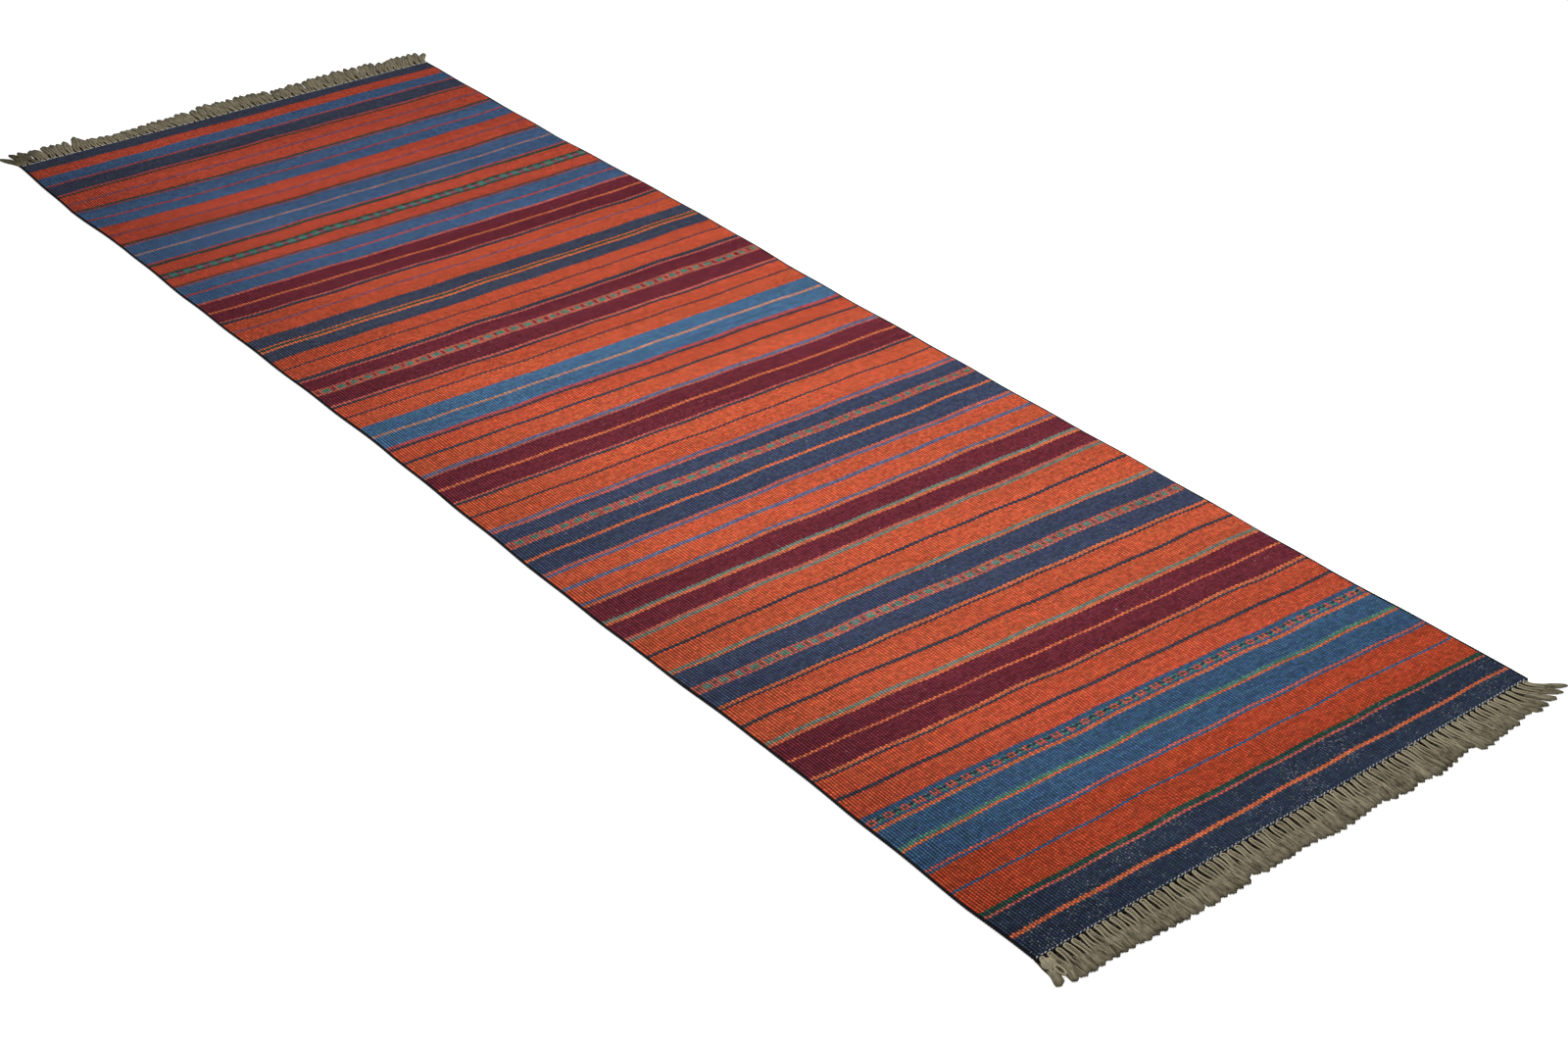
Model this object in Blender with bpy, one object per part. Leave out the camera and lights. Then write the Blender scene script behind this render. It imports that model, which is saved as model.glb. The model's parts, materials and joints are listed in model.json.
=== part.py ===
"""Flat-woven runner rug that folds in three for storage.

Units are metres and +Z is up. X runs across the rug and Y along it, the floor is Z = 0, and the
world origin is the middle of the underside. The pieces are the weft bands, the selvedge cords,
the twined end cords and the combs of warp fringe. Each flap's pieces are children of an empty
that sits on the flap's fold axis.
"""

import math
import random

import bmesh
import bpy
from mathutils import Vector

WIDTH = 0.787
THICKNESS = 0.0040
EDGE_ROUNDING = 0.0009
PIECE_GAP = 0.0003
SELVEDGE_WIDTH = 0.0034
SELVEDGE_HEIGHT = 0.0042
SELVEDGE_ROUNDING = 0.0012

END_CORD_WIDTH = 0.0040
END_CORD_HEIGHT = 0.0048
END_CORD_WAIST = 0.72
END_CORD_BEADS = 64
END_CORD_SIDES = 6

COMBS_PER_END = 8
TASSELS_PER_COMB = 9
HEADER_LENGTH = 0.0030
HEADER_HEIGHT = 0.0030
HEADER_ROUNDING = 0.0005
FRINGE_LENGTH = 0.052
FRINGE_VARIATION = 0.003
TASSEL_SEED = 11
# Width and height of a tassel where it leaves the header, at its belly and at its tip.
TASSEL_ROOT = (0.0060, 0.0040)
TASSEL_BELLY = (0.0088, 0.0056)
TASSEL_TIP = (0.0078, 0.0026)
BELLY_AT = 0.55
CORNER_SPLAY = 0.028
SPLAY_REACH = 0.10

# Height of each fold axis. The far flap lands on the near flap, so it turns about a higher one.
NEAR_FOLD_HEIGHT = 0.0052
FAR_FOLD_HEIGHT = 0.0082

# Ground colour and length in millimetres of each weft band, from the near end to the far end.
BANDS = (
    ("navy", 70.0),
    ("rust", 92.0),
    ("blue", 101.0),
    ("rust", 85.0),
    ("maroon", 78.0),
    ("rust", 92.5),
    ("slate", 90.0),
    ("rust", 92.0),
    ("maroon", 91.0),
    ("rust", 91.5),
    ("slate", 118.0),
    ("rust", 90.0),
    ("maroon", 77.0),
    ("rust", 97.5),
    ("blue", 68.5),
    ("rust", 80.0),
    ("maroon", 91.5),
    ("rust", 77.5),
    ("navy", 74.0),
    ("rust", 71.5),
    ("maroon", 78.5),
    ("blue", 72.0),
    ("rust", 96.0),
    ("blue", 86.0),
    ("rust", 74.0),
    ("blue", 78.0),
    ("rust", 84.0),
    ("navy", 52.0),
    ("blue", 30.0),
    ("rust", 34.0),
    ("navy", 39.0),
)
# The rug folds along two colour boundaries: after this many bands, counted from the near end.
BANDS_BEFORE_NEAR_FOLD = 9
BANDS_BEFORE_FAR_FOLD = 19

YARN_COLOURS = {
    "navy": (0.020, 0.028, 0.060),
    "slate": (0.030, 0.050, 0.100),
    "blue": (0.030, 0.095, 0.230),
    "rust": (0.480, 0.070, 0.025),
    "maroon": (0.085, 0.012, 0.022),
    "black": (0.010, 0.010, 0.012),
    "undyed": (0.260, 0.220, 0.155),
}
WOOL_ROUGHNESS = 0.92

HALF_WIDTH = WIDTH / 2
BAND_WIDTH = WIDTH - 2 * (SELVEDGE_WIDTH + PIECE_GAP)
HALF_FIELD = sum(length for _, length in BANDS) / 2000
COMB_WIDTH = WIDTH / COMBS_PER_END
TASSEL_PITCH = COMB_WIDTH / TASSELS_PER_COMB


def clear_scene():
    for obj in list(bpy.data.objects):
        bpy.data.objects.remove(obj, do_unlink=True)


def wool(colour):
    """The Principled material of one dye lot, made once and shared."""
    name = "wool_" + colour
    material = bpy.data.materials.get(name)
    if material:
        return material
    material = bpy.data.materials.new(name)
    material.use_nodes = True
    shader = material.node_tree.nodes["Principled BSDF"]
    shader.inputs["Base Color"].default_value = (*YARN_COLOURS[colour], 1.0)
    shader.inputs["Roughness"].default_value = WOOL_ROUGHNESS
    shader.inputs["Metallic"].default_value = 0.0
    return material


def place(name, mesh, colour, location, parent=None):
    """An object at a world location, as a child of its flap's fold axis if it has one."""
    mesh.materials.append(wool(colour))
    obj = bpy.data.objects.new(name, mesh)
    bpy.context.scene.collection.objects.link(obj)
    obj.parent = parent
    obj.location = Vector(location) - (parent.location if parent else Vector())
    return obj


def fold_axis(name, y, height):
    empty = bpy.data.objects.new(name, None)
    empty.empty_display_size = 0.05
    empty.location = (0, y, height)
    bpy.context.scene.collection.objects.link(empty)
    return empty


def box_mesh(name, size):
    """A box that stands on its origin."""
    shape = bmesh.new()
    bmesh.ops.create_cube(shape, size=1.0)
    bmesh.ops.translate(shape, verts=shape.verts, vec=(0, 0, 0.5))
    bmesh.ops.scale(shape, verts=shape.verts, vec=size)
    mesh = bpy.data.meshes.new(name)
    shape.to_mesh(mesh)
    shape.free()
    return mesh


def lofted_mesh(name, lofts):
    """One mesh of closed bodies, each bridged through its list of rings and capped at both ends."""
    shape = bmesh.new()
    for rings in lofts:
        loops = [[shape.verts.new(point) for point in ring] for ring in rings]
        for low, high in zip(loops, loops[1:]):
            for index in range(len(low)):
                after = (index + 1) % len(low)
                shape.faces.new((low[index], low[after], high[after], high[index]))
        shape.faces.new(loops[0][::-1])
        shape.faces.new(loops[-1])
    bmesh.ops.recalc_face_normals(shape, faces=shape.faces)
    mesh = bpy.data.meshes.new(name)
    shape.to_mesh(mesh)
    shape.free()
    return mesh


def round_edges(obj, width, segments=1):
    bevel = obj.modifiers.new("rounded edges", "BEVEL")
    bevel.width = width
    bevel.segments = segments


def add_band(number, colour, start, end, parent):
    """One weft band, as long as its run of yarn and as wide as the field inside the selvedges."""
    name = f"band_{number:02d}_{colour}"
    mesh = box_mesh(name, (BAND_WIDTH, end - start - PIECE_GAP, THICKNESS))
    band = place(name, mesh, colour, (0, (start + end) / 2, 0), parent)
    round_edges(band, EDGE_ROUNDING)


def add_selvedge(side, section, start, end, parent):
    """One length of the cord that binds a long edge."""
    name = f"selvedge_{'left' if side < 0 else 'right'}_{section}"
    mesh = box_mesh(name, (SELVEDGE_WIDTH, end - start - PIECE_GAP, SELVEDGE_HEIGHT))
    location = (side * (HALF_WIDTH - SELVEDGE_WIDTH / 2), (start + end) / 2, 0)
    round_edges(place(name, mesh, "black", location, parent), SELVEDGE_ROUNDING)


def cord_ring(x, size):
    """A section across the end cord, with its lowest points on the floor."""
    ring = []
    for side in range(END_CORD_SIDES):
        angle = math.tau * side / END_CORD_SIDES
        y = math.sin(angle) * size * END_CORD_WIDTH / 2
        z = (1 - math.cos(angle) * size) * END_CORD_HEIGHT / 2
        ring.append((x, y, z))
    return ring


def add_end_cord(end, direction, parent):
    """The twined cord across one end, as a row of beads with a waist where its strands cross."""
    rings = []
    for step in range(2 * END_CORD_BEADS + 1):
        x = -HALF_WIDTH + WIDTH * step / (2 * END_CORD_BEADS)
        rings.append(cord_ring(x, 1.0 if step % 2 else END_CORD_WAIST))
    name = "end_cord_" + end
    y = direction * (HALF_FIELD + PIECE_GAP + END_CORD_WIDTH / 2)
    place(name, lofted_mesh(name, [rings]), "black", (0, y, 0), parent)


def tassel_ring(x, y, size):
    """A five-point section of a tassel that lies flat on the floor."""
    width, height = size
    outline = ((-0.5, 0.0), (0.5, 0.0), (0.46, 0.62), (0.0, 1.0), (-0.46, 0.62))
    return [(x + across * width, y, up * height) for across, up in outline]


def splay(x):
    """How far a tassel tip leans outward: most at the corners and nothing along the middle."""
    depth = max(0.0, abs(x) - (HALF_WIDTH - SPLAY_REACH)) / SPLAY_REACH
    return math.copysign(CORNER_SPLAY * depth * depth, x)


def tassel_rings(x, centre_x, direction, length):
    """The sections of one tassel, in the comb's own frame."""
    stations = (
        (HEADER_LENGTH * 0.4, 0.0, TASSEL_ROOT),
        (length * BELLY_AT, 0.45, TASSEL_BELLY),
        (length, 1.0, TASSEL_TIP),
    )
    return [
        tassel_ring(x - centre_x + lean * splay(x), direction * reach, size)
        for reach, lean, size in stations
    ]


def add_comb(end, number, direction, lengths, parent):
    """A comb of fringe: its tassels grow out of one short header of twisted warps."""
    name = f"fringe_{end}_{number + 1}"
    centre_x = -HALF_WIDTH + (number + 0.5) * COMB_WIDTH
    root_y = direction * (HALF_FIELD + END_CORD_WIDTH + 2 * PIECE_GAP)
    tassels = []
    for index, length in enumerate(lengths):
        x = centre_x + (index + 0.5) * TASSEL_PITCH - COMB_WIDTH / 2
        tassels.append(tassel_rings(x, centre_x, direction, length))
    mesh = lofted_mesh(name, tassels)
    comb = place(name, mesh, "undyed", (centre_x, root_y, 0), parent)

    header_name = name + "_header"
    header_mesh = box_mesh(header_name, (COMB_WIDTH - PIECE_GAP, HEADER_LENGTH, HEADER_HEIGHT))
    header_y = root_y + direction * HEADER_LENGTH / 2
    header = place(header_name, header_mesh, "undyed", (centre_x, header_y, 0), parent)
    round_edges(header, HEADER_ROUNDING)
    header.hide_render = True
    header.display_type = "WIRE"

    union = comb.modifiers.new("tassels on their header", "BOOLEAN")
    union.operation = "UNION"
    union.solver = "EXACT"
    union.object = header


def tassel_lengths():
    """Tassel lengths of one end, comb by comb."""
    generator = random.Random(TASSEL_SEED)
    return [
        [FRINGE_LENGTH - FRINGE_VARIATION * generator.random() for _ in range(TASSELS_PER_COMB)]
        for _ in range(COMBS_PER_END)
    ]


def build():
    clear_scene()
    edges = [-HALF_FIELD]
    for _, length in BANDS:
        edges.append(edges[-1] + length / 1000)
    near_fold = edges[BANDS_BEFORE_NEAR_FOLD]
    far_fold = edges[BANDS_BEFORE_FAR_FOLD]
    near_axis = fold_axis("near_fold_axis", near_fold, NEAR_FOLD_HEIGHT)
    far_axis = fold_axis("far_fold_axis", far_fold, FAR_FOLD_HEIGHT)
    sections = (
        ("near", -HALF_FIELD, near_fold, near_axis),
        ("middle", near_fold, far_fold, None),
        ("far", far_fold, HALF_FIELD, far_axis),
    )

    for number, (colour, _) in enumerate(BANDS, start=1):
        parent = None
        if number <= BANDS_BEFORE_NEAR_FOLD:
            parent = near_axis
        elif number > BANDS_BEFORE_FAR_FOLD:
            parent = far_axis
        add_band(number, colour, edges[number - 1], edges[number], parent)

    for side in (-1, 1):
        for section, start, end, parent in sections:
            add_selvedge(side, section, start, end, parent)

    for end, direction, parent in (("near", -1, near_axis), ("far", 1, far_axis)):
        add_end_cord(end, direction, parent)
        for number, lengths in enumerate(tassel_lengths()):
            add_comb(end, number, direction, lengths, parent)


build()
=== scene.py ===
"""Looks of the flat-woven runner rug: every weft float, the selvedges, the twined ends and the fringe.

The weave is built as it is woven. Warps run along the rug and raise ribs, and each pick of weft
passes over every other rib, so a face of the mesh belongs to one float and takes its yarn's colour.
Lengths are in metres unless a name says mm, and v is the distance along the woven field from its
near end.
"""

import json
import math

import bpy
import numpy as np
from mathutils import Matrix, Vector


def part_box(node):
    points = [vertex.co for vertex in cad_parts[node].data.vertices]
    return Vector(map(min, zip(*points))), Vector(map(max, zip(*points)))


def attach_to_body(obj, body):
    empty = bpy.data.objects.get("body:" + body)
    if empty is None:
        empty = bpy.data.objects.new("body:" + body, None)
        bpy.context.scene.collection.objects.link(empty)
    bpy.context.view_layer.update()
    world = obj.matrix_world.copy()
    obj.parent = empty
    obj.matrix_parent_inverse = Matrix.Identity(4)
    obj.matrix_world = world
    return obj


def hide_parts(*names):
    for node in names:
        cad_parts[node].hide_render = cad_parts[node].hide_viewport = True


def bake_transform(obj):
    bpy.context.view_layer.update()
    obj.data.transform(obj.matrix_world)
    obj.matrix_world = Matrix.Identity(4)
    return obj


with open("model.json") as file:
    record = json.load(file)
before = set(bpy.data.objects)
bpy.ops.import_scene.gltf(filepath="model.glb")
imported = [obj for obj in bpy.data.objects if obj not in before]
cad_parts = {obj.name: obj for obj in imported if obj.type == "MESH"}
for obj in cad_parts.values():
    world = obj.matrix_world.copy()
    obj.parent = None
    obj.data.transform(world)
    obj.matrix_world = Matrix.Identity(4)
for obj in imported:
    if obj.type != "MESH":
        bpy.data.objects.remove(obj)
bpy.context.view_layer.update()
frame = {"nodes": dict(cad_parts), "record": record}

# Weave. BAND_GAP is half the gap between two CAD bands, which the woven bands close.
RIBS = 200
RIB_JITTER = 0.16
PICK_PITCH = 0.00185
THICKNESS = 0.0040
RIB_DEPTH = 0.0010
FLOAT_DEPTH = 0.0005
CREASE_DEGREES = 75
BAND_GAP = 0.00015
SEED = 7

# Folds, each at the end of a weft band. The cloth bends over a short length beyond the fold line,
# which is longer at the far fold, because that flap lies on top of the near one.
NEAR_FOLD_BAND = 9
FAR_FOLD_BAND = 19
NEAR_BEND = 0.012
FAR_BEND = 0.018

# Slant and bow of the weft lines. Each row is the distance from the near end, how much further
# along the right edge sits than the left, and how much further the two edges sit than the middle.
WEFT_SLANT = (
    (0.000, 0.000, 0.000),
    (0.040, -0.012, -0.001),
    (0.200, -0.019, -0.005),
    (0.300, -0.022, 0.000),
    (0.400, -0.024, 0.003),
    (0.480, -0.025, 0.001),
    (0.540, -0.021, -0.003),
    (0.700, -0.005, -0.002),
    (0.800, -0.002, 0.001),
    (0.900, -0.003, -0.001),
    (1.080, -0.004, 0.001),
    (1.250, -0.009, -0.001),
    (1.350, -0.003, 0.003),
    (1.400, -0.003, 0.003),
    (1.500, 0.006, 0.002),
    (1.570, 0.008, 0.003),
    (1.660, 0.005, 0.004),
    (1.740, 0.002, 0.006),
    (1.850, 0.001, 0.005),
    (1.950, 0.013, 0.005),
    (2.040, 0.012, 0.005),
    (2.150, 0.008, 0.013),
    (2.220, 0.005, 0.011),
    (2.280, 0.011, 0.000),
    (2.400, 0.011, -0.001),
    (2.452, 0.000, 0.000),
)

# Ripple of a weft line as height, wavelength and phase across the rug. It comes and goes along the
# rug, a second ripple runs aslant, and both fade out towards the ends.
WEFT_RIPPLE = ((0.0010, 0.31, 0.4), (0.0007, 0.17, 2.0))
WEFT_RIPPLE_REPEAT = 0.23
SLANTED_RIPPLE = 0.0006
RIPPLE_FADE = 0.03

# Yarn colours as they look in soft light, sRGB.
YARNS = {
    "ink": (0.19, 0.23, 0.30),
    "navy": (0.25, 0.27, 0.34),
    "slate": (0.24, 0.27, 0.36),
    "blue": (0.24, 0.35, 0.47),
    "sky": (0.28, 0.41, 0.54),
    "denim": (0.28, 0.38, 0.52),
    "rust_red": (0.69, 0.28, 0.18),
    "brick": (0.74, 0.31, 0.23),
    "rust": (0.74, 0.32, 0.22),
    "rust_orange": (0.75, 0.34, 0.23),
    "maroon": (0.42, 0.17, 0.21),
    "orange": (0.77, 0.41, 0.28),
    "salmon": (0.71, 0.51, 0.43),
    "coral": (0.69, 0.37, 0.31),
    "red": (0.72, 0.37, 0.33),
    "crimson": (0.65, 0.30, 0.31),
    "plum": (0.53, 0.32, 0.37),
    "violet": (0.38, 0.40, 0.51),
    "teal": (0.32, 0.48, 0.43),
    "mist": (0.43, 0.48, 0.44),
    "pine": (0.18, 0.29, 0.26),
    "dusk": (0.25, 0.24, 0.28),
    "umber": (0.29, 0.26, 0.21),
}

# Weft stripes from the near end to the far end: yarn and width in millimetres. A pair such as
# "teal/red" is a dashed line: dashes of the first yarn on the second.
STRIPES = (
    ("ink", 32.0),
    ("orange", 5.0),
    ("ink", 32.0),
    ("red", 4.0),
    ("pine", 7.0),
    ("rust_red", 38.0),
    ("blue", 4.5),
    ("rust_red", 34.5),
    ("blue", 4.0),
    ("red", 4.0),
    ("blue", 35.0),
    ("orange", 5.0),
    ("teal", 4.0),
    ("blue", 32.0),
    ("orange", 5.5),
    ("blue", 4.5),
    ("teal/red", 3.2),
    ("ink/red/pine/red", 3.6),
    ("teal/red", 3.2),
    ("blue", 6.0),
    ("rust", 36.0),
    ("dusk", 5.0),
    ("rust", 35.0),
    ("dusk", 4.5),
    ("orange", 4.5),
    ("maroon", 36.0),
    ("orange", 4.5),
    ("maroon", 31.5),
    ("orange", 5.0),
    ("mist", 5.0),
    ("rust_orange", 37.0),
    ("dusk", 5.0),
    ("rust_orange", 37.0),
    ("dusk", 4.5),
    ("orange", 5.0),
    ("slate", 34.0),
    ("coral", 5.0),
    ("teal/coral/plum/coral", 3.0),
    ("mist/coral/pine/coral", 3.0),
    ("teal/coral/plum/coral", 3.0),
    ("coral", 3.5),
    ("slate", 35.0),
    ("orange", 4.5),
    ("mist", 5.5),
    ("rust_orange", 38.0),
    ("dusk", 5.0),
    ("rust_orange", 38.0),
    ("mist", 5.0),
    ("coral", 5.0),
    ("maroon", 34.0),
    ("orange", 5.0),
    ("mist", 5.0),
    ("maroon", 37.0),
    ("orange", 4.5),
    ("violet", 6.0),
    ("rust_orange", 35.5),
    ("violet", 6.0),
    ("rust_orange", 32.0),
    ("violet", 6.0),
    ("red", 4.0),
    ("slate", 35.0),
    ("orange", 5.5),
    ("slate", 29.5),
    ("coral", 5.5),
    ("teal/coral/plum/coral", 8.0),
    ("coral", 3.5),
    ("slate", 29.0),
    ("red", 4.0),
    ("violet", 7.0),
    ("rust_orange", 36.0),
    ("dusk", 4.5),
    ("rust_orange", 33.0),
    ("dusk", 6.0),
    ("red", 4.0),
    ("maroon", 35.0),
    ("orange", 5.0),
    ("maroon", 33.0),
    ("coral", 5.0),
    ("violet", 7.0),
    ("rust_orange", 36.5),
    ("dusk", 5.5),
    ("rust", 34.0),
    ("dusk", 7.0),
    ("crimson", 7.0),
    ("sky", 32.5),
    ("salmon", 5.5),
    ("sky", 30.5),
    ("rust_orange", 33.5),
    ("dusk", 4.0),
    ("rust", 31.0),
    ("dusk", 6.0),
    ("red", 5.0),
    ("maroon", 36.0),
    ("coral", 6.0),
    ("teal/coral/maroon/coral", 8.5),
    ("coral", 5.5),
    ("maroon", 32.0),
    ("red", 4.5),
    ("dusk", 7.5),
    ("rust", 35.0),
    ("dusk", 5.0),
    ("rust", 30.0),
    ("navy", 29.0),
    ("orange", 5.0),
    ("pine", 5.0),
    ("orange", 4.5),
    ("navy", 30.5),
    ("rust", 33.0),
    ("plum", 6.0),
    ("rust", 27.0),
    ("dusk", 6.0),
    ("red", 5.0),
    ("maroon", 31.5),
    ("orange", 6.0),
    ("maroon", 31.0),
    ("red", 5.5),
    ("denim", 32.0),
    ("crimson", 6.0),
    ("denim", 30.0),
    ("plum", 5.0),
    ("umber", 4.0),
    ("brick", 30.0),
    ("pine", 6.0),
    ("teal/plum", 8.5),
    ("teal/pine", 4.5),
    ("pine", 4.0),
    ("brick", 33.0),
    ("pine", 6.0),
    ("crimson", 6.0),
    ("denim", 37.0),
    ("salmon", 5.0),
    ("denim", 33.0),
    ("plum", 6.0),
    ("umber", 4.5),
    ("brick", 32.5),
    ("plum", 6.0),
    ("brick", 32.0),
    ("denim", 33.0),
    ("crimson", 5.0),
    ("denim", 34.0),
    ("plum", 6.0),
    ("pine", 6.0),
    ("brick", 32.0),
    ("plum", 8.0),
    ("brick", 33.0),
    ("umber", 5.0),
    ("crimson", 7.0),
    ("navy", 37.5),
    ("crimson", 7.0),
    ("denim", 32.5),
    ("brick", 32.5),
    ("navy", 29.0),
)
DASH_PERIOD = 0.0222
DASH_SHARE = 0.48

# Unevenness of the dye, from float to float, in hue, from pick to pick and in broad waves, and the
# undyed flecks: their colour, the share of floats that have one in each yarn, and how strong it is.
HEATHER = 0.26
HUE_JITTER = 0.12
PICK_TINT = 0.10
DRIFT = 0.05
YARN_FLECK = (0.80, 0.80, 0.78)
FLECK_SHARE = {"ink": 0.12, "pine": 0.06, "navy": 0.010, "slate": 0.008, "maroon": 0.004}
FLECK_STRENGTH = (0.06, 0.34)

# Painted light and shade in the weave, as a share of what the crown of a float takes: in the valleys
# between ribs, where it grows from a part of that at the left edge to all of it further in, and where one
# float ends and the next begins. The shades multiply the yarn colour in the dark and in full light, so
# the valleys are painted dark and the crowns painted bright.
VALLEY_LIGHT = 0.22
VALLEY_LIGHT_AT_EDGE = 0.15
VALLEY_LIGHT_REACH = 0.22
FLOAT_END_LIGHT = 0.44
VALLEY_SHADE = 0.06
CROWN_SHADE = 1.54

# Outline: distance from the near end, and place across the rug.
HALF_WIDTH = 0.3935
SELVEDGE_WIDTH = 0.0026
LEFT_EDGE = (
    (0.00, -0.3920),
    (0.10, -0.3940),
    (0.26, -0.3915),
    (0.44, -0.3895),
    (0.68, -0.3950),
    (0.86, -0.3960),
    (1.10, -0.3930),
    (1.28, -0.3900),
    (1.52, -0.3930),
    (1.85, -0.3960),
    (2.06, -0.3935),
    (2.24, -0.4000),
    (2.40, -0.3945),
    (2.452, -0.3930),
)
RIGHT_EDGE = (
    (0.00, 0.3960),
    (0.08, 0.3970),
    (0.30, 0.3920),
    (0.60, 0.3940),
    (0.85, 0.3920),
    (1.10, 0.3930),
    (1.25, 0.3915),
    (1.40, 0.3935),
    (1.50, 0.3970),
    (1.72, 0.3970),
    (1.85, 0.3945),
    (2.02, 0.3900),
    (2.20, 0.3910),
    (2.452, 0.3920),
)
EDGE_RIPPLE = (0.0006, 0.16)
UNDULATION = 0.0004

# Selvedges: how far the cord swells past its own half-width and half-height, and how small it is
# between two bumps, which is also the painted shade there.
SELVEDGE_SWELL = (1.12, 1.04)
SELVEDGE_DIP = 0.78

# End cords: two yarns twined with this lay. TWINE_REACH is how far each one winds from their middle,
# along the rug and up. The stitches beside a cord have a half-length and a half-width, a tilt, a
# stray sideways, and a distance from the cord.
CORD_LAY = 0.0085
CORD_YARN_RADIUS = 0.0013
CORD_YARN_LAY = 0.0036
CORD_HEIGHT = 0.0022
CORD_WAVE = (0.0004, 0.19, 1.0)
CORD_STEPS = 640
CORD_SHADE = 0.9
TWINE_REACH = (0.0010, 0.0011)
STITCH_HALF_LENGTH = (0.0011, 0.0018)
STITCH_HALF_WIDTH = (0.00045, 0.00075)
STITCH_TILT = 0.0011
STITCH_STRAY = 0.0008
STITCH_INSET = 0.0013

# Tubes of yarn: relief of the two plies and painted shade between them, and painted shadow down the
# sides.
PLY_RELIEF = 0.14
PLY_SHADING = 0.20
SIDE_SHADOW = 0.28

# Fringe: looped bundles of undyed warps over an underlayer painted dark as the shadow between them,
# opening into soft matted locks.
# Each tassel has a wide loop and a narrow one inside it, given as a share of the loop radius, how
# light it is and its height at the end cord. Each lock has its place from -1 to 1 across the tassel
# and its share of the teeth's depth that is trimmed off.
COMBS = 8
TASSELS_PER_COMB = 9
FRINGE_INSET = 0.0025
ROOT_INSET = 0.0006
TASSEL_WIDTH = 0.0112
YARN_RADIUS = 0.00105
YARN_LAY = 0.0030
YARN_STEP = 0.0008
YARN_TIP_HEIGHT = 0.0022
LOOP_RADIUS = 0.0026
LOOPS = ((0.4, 0.66, 0.0028), (1.0, 1.08, 0.0038))
UNDERLAYER_STRANDS = 8
UNDERLAYER_SIZE = (0.0013, 0.0006)
UNDERLAYER_HEIGHTS = (0.0010, 0.0007)
# Painted shadow on the upper half of the underlayer strands.
UNDERLAYER_SHADE = 0.08
LOCKS = ((-1.0, 0.7), (-0.5, 0.25), (0.0, 0.0), (0.5, 0.45), (1.0, 1.0))
LOCK_SPREAD = 0.0047
LOCK_SIZE = (0.0023, 0.0013)
LOCK_SHADES = (0.26, 0.54)
FIBRES = 12
FIBRE_STRAY = 0.0014
FIBRE_SIZES = (0.0004, 0.0008)
FIBRE_SHADES = (0.16, 0.84)

# The outermost warps of a left corner: a puff, and beyond it a ring of yarn. They are placed from
# the woven edge and from the end cord, and the puff is given by its half-width at the ends and how
# much wider it is in the middle.
PUFF_STRANDS = 7
PUFF_INSET = 0.0090
PUFF_LENGTH = 0.0170
PUFF_WIDTHS = (0.0020, 0.0050)
PUFF_STRAND_RADIUS = 0.0018
RING_INSET = 0.0105
RING_DISTANCE = 0.0225
RING_SIZE = (0.0030, 0.0075)
RING_YARN_RADIUS = 1.35 * YARN_RADIUS

# Against the place of a tassel across the rug, the tables give how far its tip drifts sideways, how
# far it reaches from the end cord, and how light it is. The rest are the share of the length that
# the looped yarns reach, how far they part, where the locks start, how deep the teeth between
# tassels are as a share of the length, how uneven the lengths are, and stray lean and waviness.
FRINGE = {
    "near": {
        "lean": (
            (-0.390, -0.010),
            (-0.375, -0.005),
            (-0.350, 0.000),
            (0.150, 0.001),
            (0.250, 0.008),
            (0.310, 0.006),
            (0.340, 0.018),
            (0.390, 0.042),
        ),
        "length": (
            (-0.390, 0.038),
            (-0.370, 0.045),
            (-0.330, 0.043),
            (-0.200, 0.048),
            (-0.137, 0.048),
            (-0.122, 0.039),
            (-0.107, 0.046),
            (-0.040, 0.044),
            (0.010, 0.050),
            (0.080, 0.043),
            (0.120, 0.051),
            (0.155, 0.046),
            (0.165, 0.052),
            (0.235, 0.041),
            (0.243, 0.052),
            (0.310, 0.046),
            (0.330, 0.039),
            (0.342, 0.046),
            (0.370, 0.039),
            (0.390, 0.031),
        ),
        "tone": ((-0.390, 1.0), (0.390, 1.0)),
        "yarn_reach": 0.60,
        "yarn_spread": 0.0016,
        "lock_start": 0.36,
        "teeth": 0.08,
        "ragged": 0.02,
        "stray": 0.0014,
        "wave": 0.0009,
    },
    "far": {
        "lean": (
            (-0.390, -0.020),
            (-0.375, -0.013),
            (-0.358, -0.004),
            (-0.345, 0.003),
            (-0.302, 0.004),
            (-0.292, 0.026),
            (-0.282, 0.026),
            (-0.272, 0.004),
            (-0.120, -0.006),
            (-0.076, -0.005),
            (-0.065, 0.005),
            (0.100, 0.008),
            (0.250, 0.014),
            (0.266, 0.020),
            (0.300, 0.024),
            (0.330, 0.018),
            (0.360, 0.024),
            (0.390, 0.030),
        ),
        "length": (
            (-0.390, 0.046),
            (-0.372, 0.062),
            (-0.358, 0.062),
            (-0.348, 0.050),
            (-0.338, 0.062),
            (-0.302, 0.056),
            (-0.292, 0.070),
            (-0.282, 0.070),
            (-0.272, 0.052),
            (-0.240, 0.042),
            (-0.200, 0.038),
            (-0.150, 0.044),
            (-0.076, 0.052),
            (-0.036, 0.064),
            (0.060, 0.060),
            (0.100, 0.051),
            (0.175, 0.060),
            (0.245, 0.068),
            (0.290, 0.059),
            (0.310, 0.052),
            (0.360, 0.062),
            (0.390, 0.044),
        ),
        "tone": ((-0.390, 0.40), (-0.360, 0.55), (-0.340, 1.0), (0.390, 1.0)),
        "yarn_reach": 0.86,
        "yarn_spread": 0.0006,
        "lock_start": 0.30,
        "teeth": 0.12,
        "ragged": 0.07,
        "stray": 0.0028,
        "wave": 0.0010,
    },
}

# Roughness and gloss.
WOOL_FINISH = (0.95, 0.04)
FLOOR_FINISH = (0.9, 0.1)

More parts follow.
